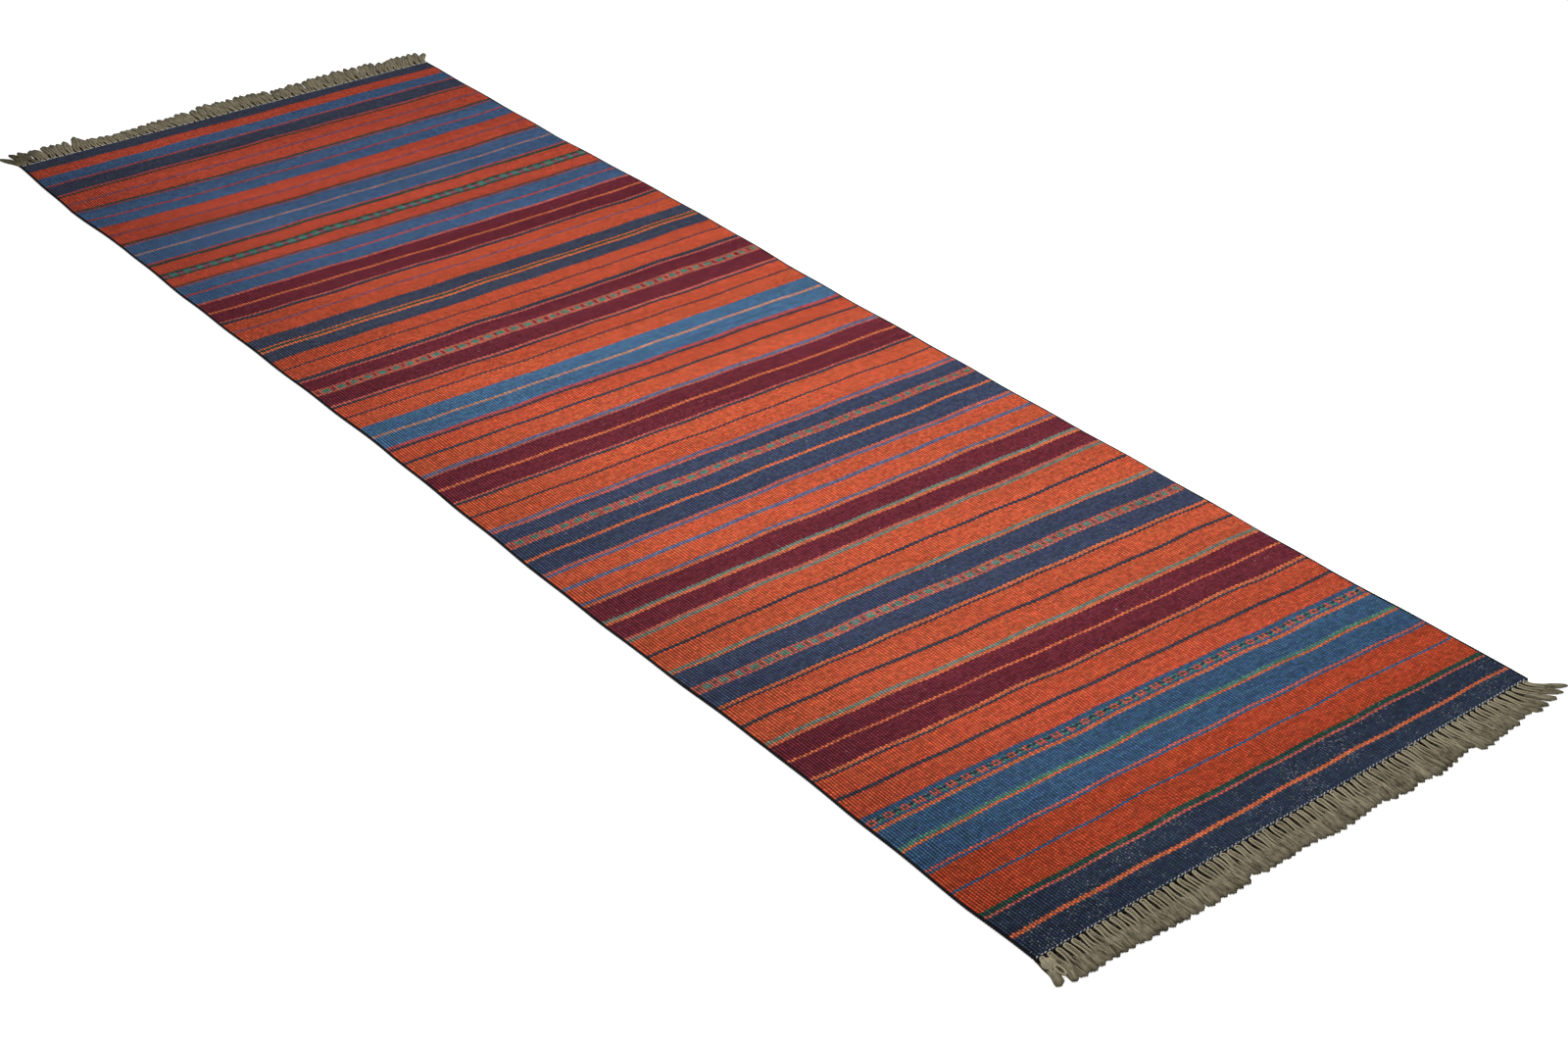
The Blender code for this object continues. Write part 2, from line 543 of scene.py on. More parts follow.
# Camera and light. The camera's heading, its angle below level and its roll are in degrees.
CAMERA_PLACE = (-1.7393, -2.5080, 1.6589)
CAMERA_HEADING = 38.56
CAMERA_DOWN = 31.88
CAMERA_ROLL = 0.53
LENS_MM = 56.16
SENSOR_MM = 36
SKY_LIGHT = 0.30
KEY_PLACE = (0.15, -0.35, 1.7)
KEY_TARGET = (0, 0.1, 0)
KEY_SIZE = 1.5
KEY_POWER = 34.0
FLOOR_GLOW = 0.62
FLOOR_HEIGHT = -0.0002
FLOOR_REACH = 60.0
SQUARE = ((-1, -1), (1, -1), (1, 1), (-1, 1))

# The CAD bands, near end first, and the woven field from the first to the last.
BODIES = frame["record"]["behaviour"]["bodies"]
BAND_NODES = sorted(name for name in frame["nodes"] if name.startswith("band_"))
FIELD_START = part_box(BAND_NODES[0])[0].y - BAND_GAP
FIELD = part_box(BAND_NODES[-1])[1].y + BAND_GAP - FIELD_START


def linear(colour):
    """Scene-linear RGB of an sRGB colour."""
    colour = np.asarray(colour, float)
    return np.where(colour <= 0.04045, colour / 12.92, ((colour + 0.055) / 1.055) ** 2.4)


def waves(position, terms):
    """A sum of sines. Each term is a height, a wavelength and a phase."""
    return sum(h * np.sin(math.tau * position / length + phase) for h, length, phase in terms)


def left_edge(v):
    return np.interp(v, *np.transpose(LEFT_EDGE)) + waves(v, ((*EDGE_RIPPLE, 0.0),))


def right_edge(v):
    return np.interp(v, *np.transpose(RIGHT_EDGE)) + waves(v, ((*EDGE_RIPPLE, 1.0),))


def weft_lift(x, v):
    """How far along the rug a weft line sits past its straight place, at x across the rug."""
    table = np.array(WEFT_SLANT)
    across = x / HALF_WIDTH
    slant = np.interp(v, table[:, 0], table[:, 1])
    bow = np.interp(v, table[:, 0], table[:, 2])
    ripple = waves(x, WEFT_RIPPLE) * np.cos(math.tau * v / WEFT_RIPPLE_REPEAT)
    ripple = ripple + SLANTED_RIPPLE * np.sin(math.tau * (x / 0.11 + v / 0.37))
    fade = np.clip(np.minimum(v, FIELD - v) / RIPPLE_FADE, 0.0, 1.0)
    return slant * across / 2 + bow * (across**2 - 0.25) + fade * ripple


def undulation(x, v):
    """Slow rise and fall of the upper face, as the rug lies on the floor."""
    return UNDULATION * np.sin(math.tau * (x / 0.52 + v / 0.71)) * np.sin(math.tau * v / 0.43 + 1)


def rib_columns():
    """Shares across the rug of the mesh columns: a rib's edge, its crown, the next edge, and so on."""
    generator = np.random.default_rng(SEED)
    widths = 1 + RIB_JITTER * generator.uniform(-1, 1, RIBS)
    edges = np.concatenate(([0.0], np.cumsum(widths))) / widths.sum()
    margin = SELVEDGE_WIDTH / (2 * HALF_WIDTH)
    edges = margin + (1 - 2 * margin) * edges
    columns = np.empty(2 * RIBS + 1)
    columns[0::2] = edges
    columns[1::2] = (edges[:-1] + edges[1:]) / 2
    return columns


def mesh_object(name, points, faces, material):
    """A smooth mesh object from arrays of points and of faces that all have as many corners."""
    mesh = bpy.data.meshes.new(name)
    mesh.vertices.add(len(points))
    mesh.vertices.foreach_set("co", np.asarray(points, np.float32).ravel())
    mesh.loops.add(faces.size)
    mesh.loops.foreach_set("vertex_index", np.asarray(faces, np.int32).ravel())
    mesh.polygons.add(len(faces))
    mesh.polygons.foreach_set("loop_start", np.arange(0, faces.size, faces.shape[1], dtype=np.int32))
    mesh.update(calc_edges=True)
    mesh.shade_smooth()
    mesh.materials.append(material)
    obj = bpy.data.objects.new(name, mesh)
    bpy.context.scene.collection.objects.link(obj)
    return obj


def set_attribute(obj, name, kind, domain, values):
    attribute = obj.data.attributes.new(name, kind, domain)
    field = "color" if kind == "FLOAT_COLOR" else "value"
    attribute.data.foreach_set(field, np.asarray(values, np.float32).ravel())


# --- The weave ---------------------------------------------------------------------------------


def yarn_index(v, x):
    """Index into the yarn table of the weft at each v and x."""
    names = list(YARNS)
    ends = np.cumsum([width for _, width in STRIPES]) / 1000
    stripe = np.minimum(np.searchsorted(ends, v + 1e-6, side="right"), len(STRIPES) - 1)
    place = (x / DASH_PERIOD) % 1.0
    index = np.empty(stripe.shape, int)
    for number, (pattern, _) in enumerate(STRIPES):
        yarns = [names.index(name) for name in pattern.split("/")]
        here = stripe == number
        after_dash = (place[here] - DASH_SHARE) / (1 - DASH_SHARE) * (len(yarns) - 1)
        turn = np.where(place[here] < DASH_SHARE, 0, 1 + np.floor(after_dash).astype(int))
        index[here] = np.array(yarns)[np.minimum(turn, len(yarns) - 1)]
    return index


def float_colours(start, pick, rows, crowns, generator):
    """Linear colour of the float on each rib at each pick, and its share of pale flecks."""
    along = start + pick * np.arange(rows + 1)
    v, x = np.meshgrid(along, (crowns - 0.5) * 2 * HALF_WIDTH, indexing="ij")
    index = yarn_index(v, x)
    flecks = np.array([FLECK_SHARE.get(name, 0.0) for name in YARNS])[index] * patchy(x, v)
    colours = linear(list(YARNS.values()))[index]
    tint = 1 + PICK_TINT * generator.uniform(-1, 1, (rows + 1, 1, 1))
    drift = 1 + DRIFT * np.sin(math.tau * (x / 0.9 + v / 0.13))[..., None]
    heather = 1 + HEATHER * generator.uniform(-1, 1, index.shape)[..., None]
    hue = 1 + HUE_JITTER * generator.uniform(-1, 1, (*index.shape, 3))
    return colours * tint * drift * heather * hue, flecks


def add_flecks(colours, share, generator):
    """Stray undyed fibres that show on a few faces."""
    strength = generator.uniform(*FLECK_STRENGTH, share.shape)
    strength = np.where(generator.random(share.shape) < share, strength, 0)
    return colours + (linear(YARN_FLECK) - colours) * strength[:, None]


def patchy(x, v):
    """Soft patches from 0 to 1, where stray fibres gather."""
    swell = np.sin(math.tau * (x / 0.21 + v / 0.33)) * np.sin(math.tau * (x / 0.13 - v / 0.17) + 1)
    return np.clip(0.3 + 0.9 * swell, 0.05, 1)


class WeaveGrid:
    """The points and faces of one face of a plain weave, in picks along and ribs across.

    Points on a rib's crown sit at whole picks and points in the valleys between ribs at half picks,
    so that each float is a spindle: two picks tall on its crown and one pick tall in the valleys.
    """

    def __init__(self, rows):
        self.rows = rows
        valley = np.concatenate(([0.0], np.arange(rows) + 0.5, [rows]))
        crown = np.arange(rows + 1.0)
        self.step = len(valley) + len(crown)
        repeat = np.concatenate([valley, crown])
        is_crown = np.arange(self.step) >= len(valley)
        self.row = np.concatenate([np.tile(repeat, RIBS), valley])
        self.rib = np.concatenate([np.repeat(np.arange(RIBS), self.step), np.full(len(valley), RIBS)])
        self.crown = np.concatenate([np.tile(is_crown, RIBS), np.zeros(len(valley), bool)])
        self.column = 2 * self.rib + self.crown

    def on_top(self, row, rib, side):
        return (row + rib + side) % 2 == 1

    def relief(self, side):
        """Depth of every point below the face, and the light painted on it, from 0 to 1."""
        proud = self.on_top(self.row, self.rib, side)
        depth = np.where(self.crown, np.where(proud, 0.0, FLOAT_DEPTH), RIB_DEPTH)
        painted_light = np.where(self.crown, np.where(proud, 1.0, FLOAT_END_LIGHT), 0.0)
        return depth, painted_light

    def faces(self, side):
        """Triangles, and the pick and rib whose float each one shows."""
        rib = np.arange(RIBS)[:, None]
        pick = np.arange(self.rows + 1)[None, :]
        left = rib * self.step
        crown = left + self.rows + 2
        right = left + self.step
        above = pick[:, :-1]
        groups = []
        # Corners are ordered so that triangles on both sides of a crown face up.
        for valley, outward, order in ((left, -1, (1, 0, 2)), (right, 1, (0, 1, 2))):
            ends = np.stack([crown + pick, valley + pick, valley + pick + 1], axis=-1)[..., order]
            own = self.on_top(pick, rib, side)
            beside = np.clip(np.where(own, rib, rib + outward), 0, RIBS - 1)
            groups.append((ends, np.broadcast_to(pick, beside.shape), beside))
            tips = (crown + above, valley + above + 1, crown + above + 1)
            body = np.stack(tips if outward > 0 else (tips[0], tips[2], tips[1]), axis=-1)
            shown = np.where(self.on_top(above, rib, side), above, above + 1)
            groups.append((body, shown, np.broadcast_to(rib, shown.shape)))
        triangles = np.concatenate([group[0].reshape(-1, 3) for group in groups])
        picks = np.concatenate([group[1].ravel() for group in groups])
        ribs = np.concatenate([group[2].ravel() for group in groups])
        return triangles, picks, ribs

    def rim(self):
        """Points round the border, counterclockwise from the near left corner."""
        starts = np.concatenate([[k * self.step, k * self.step + self.rows + 2] for k in range(RIBS)])
        starts = np.append(starts, RIBS * self.step)
        lengths = np.where(np.arange(2 * RIBS + 1) % 2, self.rows + 1, self.rows + 2)
        side = np.arange(1, self.rows + 1)
        ends = starts + lengths - 1
        return np.concatenate([starts, starts[-1] + side, ends[::-1], starts[0] + side[::-1]])


def band_surface(name, columns, generator):
    """One weft band as a closed sheet with the relief and colours of its weave, painted light and shade
    on its floats, and its length.
    """
    low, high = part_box(name)
    start = max(low.y - FIELD_START - BAND_GAP, 0.0)
    end = min(high.y - FIELD_START + BAND_GAP, FIELD)
    rows = max(2, 2 * round((end - start) / (2 * PICK_PITCH)))
    pick = (end - start) / rows
    grid = WeaveGrid(rows)
    v = start + pick * grid.row
    x = left_edge(v) + (right_edge(v) - left_edge(v)) * columns[grid.column]
    y = FIELD_START + v + weft_lift(x, v)
    top = THICKNESS + undulation(x, v)
    floats, flecks = float_colours(start, pick, rows, columns[1::2], generator)

    points, faces, colours, painted_lights = [], [], [], []
    for side in (0, 1):
        depth, painted_light = grid.relief(side)
        points.append(np.stack([x, y, depth if side else top - depth], axis=-1))
        painted_lights.append(painted_light + (1 - painted_light) * valley_light(x))
        triangles, picks, ribs = grid.faces(side)
        faces.append(triangles[:, ::-1] + len(x) if side else triangles)
        colours.append(add_flecks(floats[picks, ribs], flecks[picks, ribs], generator))
    rim = grid.rim()
    faces.extend(rim_faces(rim, len(x)))
    edge = floats[np.minimum(grid.row[rim].astype(int), rows), np.minimum(grid.rib[rim], RIBS - 1)]
    colours.extend((edge, edge))

    band = mesh_object(name + "_weave", np.concatenate(points), np.concatenate(faces), MATERIALS["weave"])
    crease_valleys(band, np.tile(~grid.crown, 2))
    set_attribute(band, "yarn", "FLOAT_COLOR", "FACE", opaque(np.concatenate(colours)))
    # The lift attribute holds painted light: the share of light taken to reach each point, which the
    # weave material multiplies into the yarn colour.
    set_attribute(band, "lift", "FLOAT", "POINT", np.concatenate(painted_lights))
    return band, end - start


def rim_faces(rim, below):
    """Two triangles for each step round the border. A point of the lower face comes below places on."""
    after = np.roll(rim, -1)
    first = np.stack([rim + below, after + below, after], axis=1)
    second = np.stack([rim + below, after, rim], axis=1)
    return first, second


def opaque(colours):
    """Colours with an alpha of one."""
    return np.concatenate([colours, np.ones((len(colours), 1))], axis=1)


def valley_light(x):
    """Painted light in the valleys, as a share: less towards the left edge, where the ribs stand further
    apart.
    """
    return VALLEY_LIGHT * np.clip((x + HALF_WIDTH) / VALLEY_LIGHT_REACH, VALLEY_LIGHT_AT_EDGE, 1.0)


def crease_valleys(band, in_valley):
    """Makes the edges along the valleys and round the border sharp, and leaves the crowns round."""
    mesh = band.data
    mesh.set_sharp_from_angle(angle=math.radians(CREASE_DEGREES))
    ends = np.empty(2 * len(mesh.edges), np.int32)
    mesh.edges.foreach_get("vertices", ends)
    sharp = mesh.attributes["sharp_edge"].data
    marked = np.empty(len(mesh.edges), bool)
    sharp.foreach_get("value", marked)
    sharp.foreach_set("value", marked | in_valley[ends].reshape(-1, 2).all(axis=1))


def attach(piece, node, folds=()):
    """The piece stands for a CAD node: it rides on that node's body, or, where it lies across a fold,
    keeps its place with its transform baked in.
    """
    body = next(name for name, nodes in BODIES.items() if node in nodes)
    fold = next((entry for entry in folds if node in entry["pieces"]), None)
    if fold:
        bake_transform(piece)
    else:
        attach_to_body(piece, body)
    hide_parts(node)


def fold(end, band_number, bend):
    """What bends at a fold, and where: from the colour boundary over a short length of the flap."""
    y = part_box(BAND_NODES[band_number - 1])[1].y
    bands = BAND_NODES[band_number - 1 : band_number + 1]
    return {
        "flap": end + "_flap",
        "pieces": [*bands, f"selvedge_left_{end}", f"selvedge_right_{end}"],
        "start": (0, y, 0),
        "end": (0, y + bend, 0),
    }


def add_weave(folds):
    columns = rib_columns()
    generator = np.random.default_rng(SEED)
    for node in BAND_NODES:
        band, length = band_surface(node, columns, generator)
        attach(band, node, folds)


# --- Cords and fringe --------------------------------------------------------------------------


def path_axes(path):
    """At each point of a path: the directions beside and above it, and its length so far."""
    along = np.gradient(path, axis=0)
    along /= np.linalg.norm(along, axis=1, keepdims=True)
    beside = np.cross(along, (0.0, 0.0, 1.0))
    beside /= np.linalg.norm(beside, axis=1, keepdims=True)
    above = np.cross(beside, along)
    run = np.concatenate(([0.0], np.cumsum(np.linalg.norm(np.diff(path, axis=0), axis=1))))
    return beside, above, run


class Yarns:
    """Tubes gathered into one mesh."""

    def __init__(self):
        self.points = []
        self.quads = []
        self.shade = []
        self.count = 0

    def add(self, path, across, up, shade, sides=6, lay=None, underside=None):
        """A tube along path, with half-widths across and up, and painted shade down its sides.

        A lay gives it two twisted plies, with painted shade between them. An underside is the shade
        painted on its lower half.
        """
        beside, above, run = path_axes(path)
        angle = math.tau * np.arange(sides) / sides
        ridge = np.cos(2 * angle - math.tau * run[:, None] / lay) if lay else np.zeros(sides)
        wide = np.broadcast_to(across, run.shape)[:, None] * np.cos(angle) * (1 + PLY_RELIEF * ridge)
        tall = np.broadcast_to(up, run.shape)[:, None] * np.sin(angle) * (1 + PLY_RELIEF * ridge)
        points = path[:, None] + beside[:, None] * wide[..., None] + above[:, None] * tall[..., None]
        # Painted shade: darker between the twisted plies and down the sides of the tube.
        tones = np.broadcast_to(shade, run.shape)[:, None] * (1 + PLY_SHADING * ridge)
        tones = tones * (1 - SIDE_SHADOW * (1 - np.abs(np.sin(angle))))
        if underside is not None:
            tones = np.where(np.sin(angle) < -0.1, underside, tones)
        self.points.append(points.reshape(-1, 3))
        self.shade.append(tones.ravel())
        self.skin(len(path), sides)

    def skin(self, rings, sides):
        """The faces round and at both ends of the tube whose points were added last."""
        first = self.count
        ring = np.arange(rings - 1)[:, None] * sides + first
        side = np.arange(sides)[None, :]
        after = (side + 1) % sides
        quads = np.stack([ring + side, ring + after, ring + sides + after, ring + sides + side], axis=-1)
        self.quads.append(quads.reshape(-1, 4))
        self.cap(first, sides, True)
        self.cap(first + (rings - 1) * sides, sides, False)
        self.count += rings * sides

    def cap(self, first, sides, start):
        """Closes an end with a strip of quads, so sides is even."""
        k = np.arange(sides // 2 - 1)
        quads = first + np.stack([k, k + 1, sides - 2 - k, sides - 1 - k], axis=1)
        self.quads.append(quads[:, ::-1] if start else quads)

    def to_object(self, name, material):
        points = np.concatenate(self.points)
        points[:, 2] = np.maximum(points[:, 2], 0.0)
        obj = mesh_object(name, points, np.concatenate(self.quads), material)
        set_attribute(obj, "shade", "FLOAT", "POINT", np.concatenate(self.shade))
        return obj


def add_selvedge(node, folds):
    """The cord that binds a long edge: one bump for each pair of picks that turns round it."""
    low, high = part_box(node)
    steps = 2 * round((high.y - low.y) / (2 * PICK_PITCH))
    y = np.linspace(low.y, high.y, steps + 1)
    left = low.x < 0
    inset = SELVEDGE_WIDTH / 2
    v = y - FIELD_START
    x = left_edge(v) + inset if left else right_edge(v) - inset
    path = np.stack([x, y, np.full_like(y, THICKNESS / 2)], axis=1)
    bump = np.where(np.arange(steps + 1) % 2, 1.0, SELVEDGE_DIP)
    wide = SELVEDGE_SWELL[0] * inset
    tall = SELVEDGE_SWELL[1] * THICKNESS / 2
    cord = Yarns()
    # The dips between bumps are painted darker by the same share, as shade.
    cord.add(path, wide * bump, tall * bump, bump, sides=8)
    attach(cord.to_object(node + "_cord", MATERIALS["dark"]), node, folds)


def add_end_cord(node):
    """Two dark yarns twined round each other across the end of the weave."""
    low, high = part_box(node)
    centre_y = (low.y + high.y) / 2
    x = np.linspace(low.x + 0.001, high.x - 0.001, CORD_STEPS)
    cord = Yarns()
    for strand in (0, 1):
        angle = math.tau * x / CORD_LAY + strand * math.pi
        y = centre_y + TWINE_REACH[0] * np.cos(angle) + waves(x, (CORD_WAVE,))
        z = CORD_HEIGHT + TWINE_REACH[1] * np.sin(angle)
        path = np.stack([x, y, z], axis=1)
        cord.add(path, CORD_YARN_RADIUS, CORD_YARN_RADIUS, CORD_SHADE, lay=CORD_YARN_LAY)
    attach(cord.to_object(node + "_twine", MATERIALS["dark"]), node)


def tassel_places():
    """Where the tassels are tied in, across the rug."""
    count = COMBS * TASSELS_PER_COMB
    reach = HALF_WIDTH - FRINGE_INSET
    return -reach + (np.arange(count) + 0.5) * 2 * reach / count


def add_knots(end, direction):
    """The short pale stitches where each tassel is tied in, on the inner side of the end cord."""
    low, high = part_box("end_cord_" + end)
    generator = np.random.default_rng(SEED + 30 + direction)
    inner = high.y if direction < 0 else low.y
    knots = Yarns()
    t = np.linspace(-1, 1, 9)
    places = tassel_places()
    pitch = places[1] - places[0]
    for place in np.concatenate([places - pitch / 4, places + pitch / 4]):
        stray = generator.uniform(-STITCH_STRAY, STITCH_STRAY)
        x = place + stray + generator.uniform(*STITCH_HALF_LENGTH) * t
        tilt = generator.uniform(0.0, STITCH_TILT)
        y = inner - direction * (STITCH_INSET + tilt * t)
        z = THICKNESS + 0.0006 - 0.0012 * t**4
        half_width = generator.uniform(*STITCH_HALF_WIDTH) * (1 - 0.7 * t**4)
        knots.add(np.stack([x, y, z], axis=1), half_width, half_width, 1.0)
    stitches = knots.to_object(f"end_knots_{end}", MATERIALS["pale"])
    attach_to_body(stitches, end + "_flap")


class Tassel:
    """One bundle of warps: where it is tied in, where it leans, how long and how light it is."""

    def __init__(self, x, root_y, end, direction, generator):
        style = FRINGE[end]
        self.style = style
        self.x = x
        self.root_y = root_y
        self.direction = direction
        self.generator = generator
        self.lean = np.interp(x, *np.transpose(style["lean"])) + generator.normal(0, style["stray"])
        self.length = np.interp(x, *np.transpose(style["length"]))
        self.length *= 1 + style["ragged"] * generator.uniform(-1, 1)
        self.tone = np.interp(x, *np.transpose(style["tone"])) * generator.uniform(0.82, 1.12)
        self.phase = generator.uniform(0, math.tau)

    def line(self, offset, spread, begin, finish, lift, steps):
        """Points from one share of the length to another, offset at the root and spread at the tip."""
        t = np.linspace(begin, finish, steps)
        bend = self.style["wave"] * np.sin(math.tau * 1.2 * t + self.phase + 200 * offset)
        x = self.x + offset + self.lean * np.maximum(t, 0) ** 1.3 + spread * t + bend
        y = self.root_y + self.direction * self.length * t
        along = (t - begin) / (finish - begin)
        z = lift[0] + (lift[1] - lift[0]) * along
        return np.stack([x, y, z], axis=1)

    def add_underlayer(self, yarns):
        """Flat strands with their upper half painted dark as shadow, which close the gaps between the
        upper yarns.
        """
        t = np.linspace(0, 1, 8)
        taper = 1 - 0.8 * t**3
        width, height = UNDERLAYER_SIZE
        for share in np.linspace(-0.5, 0.5, UNDERLAYER_STRANDS):
            finish = self.generator.uniform(0.80, 0.90)
            path = self.line(share * TASSEL_WIDTH, 0.0, -0.04, finish, UNDERLAYER_HEIGHTS, len(t))
            below = self.tone * self.generator.uniform(0.45, 0.80)
            yarns.add(path, width * taper, height * taper, UNDERLAYER_SHADE * self.tone, underside=below)

    def add_loop(self, yarns, radius, light, lift):
        """A plied yarn that runs up one side, round the head of the tassel and down the other."""
        reach = self.style["yarn_reach"] * self.generator.uniform(0.85, 1.10, 2)
        spread = self.style["yarn_spread"] * self.generator.uniform(0.2, 1.5, 2)
        steps = np.maximum(12, np.round(self.length * reach / YARN_STEP).astype(int))
        radius = radius * self.generator.uniform(0.75, 1.25)
        heights = (lift, YARN_TIP_HEIGHT)
        left = self.line(-radius, -spread[0], 0.0, reach[0], heights, steps[0])
        right = self.line(radius, spread[1], 0.0, reach[1], heights, steps[1])
        turn = np.linspace(math.pi, 0, 9)[1:-1]
        head_x = self.x + radius * np.cos(turn)
        head_y = self.root_y - self.direction * 0.9 * radius * np.sin(turn)
        head = np.stack([head_x, head_y, np.full(len(turn), lift)], axis=1)
        path = np.concatenate([left[::-1], head, right])
        to_head, from_head = np.linspace(1, 0, steps[0]), np.linspace(0, 1, steps[1])
        along = np.concatenate([to_head, np.zeros(len(head)), from_head])
        thick = YARN_RADIUS * self.generator.uniform(0.90, 1.08) * (1 - 0.15 * along)
        thick = thick * (1 - 0.75 * np.clip((along - 0.85) / 0.15, 0, 1) ** 2)
        shade = light * self.tone * (1.0 - 0.30 * along)
        yarns.add(path, thick, thick, shade, sides=8, lay=YARN_LAY)

    def add_locks(self, yarns):
        """Matted locks side by side, longest near the middle, so that each tassel ends in one tooth."""
        t = np.linspace(0, 1, 17)
        width = LOCK_SIZE[0] * np.clip(0.4 + 2.0 * t, 0, 1) * (1 - 0.55 * t**9)
        height = LOCK_SIZE[1] * np.clip(0.3 + 3 * t, 0, 1) * (1 - 0.6 * t**6)
        for share, trim in LOCKS:
            finish = 1 - trim * self.style["teeth"] - self.generator.uniform(0, 0.015)
            begin = self.style["lock_start"] + self.generator.uniform(-0.06, 0.06)
            arch = 1 - share**2
            lift = (0.0016 + 0.0006 * arch, 0.0011 + 0.0003 * arch)
            path = self.line(share * LOCK_SPREAD, 0.0, begin, finish, lift, len(t))
            shade = self.tone * self.generator.uniform(*LOCK_SHADES) * (1 - 0.65 * t**8)
            yarns.add(path, width, height, shade, sides=10)

    def add_fibres(self, yarns):
        """Loose strands over the locks."""
        t = np.linspace(0, 1, 9)
        for strand in range(FIBRES):
            share = (strand + self.generator.uniform(0.1, 0.9)) / FIBRES - 0.5
            begin = self.style["lock_start"] + self.generator.uniform(-0.05, 0.35)
            finish = 1 - self.style["teeth"] * abs(2 * share + 0.1) - self.generator.uniform(0.01, 0.14)
            arch = 1 - (2 * share) ** 2
            lift = (0.0020 + 0.0014 * arch, 0.0013 + 0.0009 * arch)
            spread = self.generator.normal(0, FIBRE_STRAY)
            path = self.line(share * TASSEL_WIDTH, spread, begin, finish, lift, len(t))
            thick = self.generator.uniform(*FIBRE_SIZES) * np.clip(4 * t + 0.2, 0, 1) * (1 - 0.9 * t**5)
            shade = self.tone * self.generator.uniform(*FIBRE_SHADES) * (1 - 0.45 * t**4)
            yarns.add(path, thick * 1.4, thick, shade)


def add_corner_puff(yarns, tone, direction, root_y):
    """The outermost warps of a left corner swell into a puff just beyond the end cord."""
    t = np.linspace(0, 1, 16)
    belly = np.sin(math.pi * t)
    half_width = PUFF_WIDTHS[0] + PUFF_WIDTHS[1] * belly
    thick = PUFF_STRAND_RADIUS * np.sqrt(np.clip(belly, 0.10, 1))
    for strand, share in enumerate(np.linspace(-1, 1, PUFF_STRANDS)):
        x = -HALF_WIDTH + PUFF_INSET + half_width * share - 0.0015 * t
        y = root_y + direction * (PUFF_LENGTH * t - 0.0012 * (1 - share**2))
        z = 0.0024 + 0.0020 * belly * (1 - 0.6 * share**2)
        shade = (0.78 + 0.12 * (strand % 2)) * tone
        yarns.add(np.stack([x, y, z], axis=1), thick, thick, shade, sides=8)


def add_corner_ring(yarns, tone, direction, root_y):
    """A narrow loop of plied yarn beyond the puff."""
    angle = math.tau * np.linspace(-0.02, 1.02, 60)
    x = -HALF_WIDTH + RING_INSET + RING_SIZE[0] * np.sin(angle)
    y = root_y + direction * (RING_DISTANCE - RING_SIZE[1] * np.cos(angle))
    z = 0.0034 + 0.0006 * np.sin(angle)
    path = np.stack([x, y, z], axis=1)
    yarns.add(path, RING_YARN_RADIUS, RING_YARN_RADIUS, 0.95 * tone, sides=8, lay=YARN_LAY)


def add_fringe(end, direction):
    generator = np.random.default_rng(SEED + 50 + direction)
    places = tassel_places().reshape(COMBS, TASSELS_PER_COMB)
    for comb, comb_places in enumerate(places):
        node = f"fringe_{end}_{comb + 1}"
        low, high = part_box(node)
        root_y = (high.y if direction < 0 else low.y) - direction * ROOT_INSET
        yarns = Yarns()
        for x in comb_places:
            tassel = Tassel(x, root_y, end, direction, generator)
            tassel.add_underlayer(yarns)
            tassel.add_locks(yarns)
            tassel.add_fibres(yarns)
            for share, light, lift in LOOPS:
                tassel.add_loop(yarns, share * LOOP_RADIUS, light, lift)
        if comb == 0:
            corner_tone = FRINGE[end]["tone"][0][1]
            add_corner_puff(yarns, corner_tone, direction, root_y)
            add_corner_ring(yarns, corner_tone, direction, root_y)
        attach(yarns.to_object(node + "_wool", MATERIALS["fringe"]), node)


# --- Materials ---------------------------------------------------------------------------------


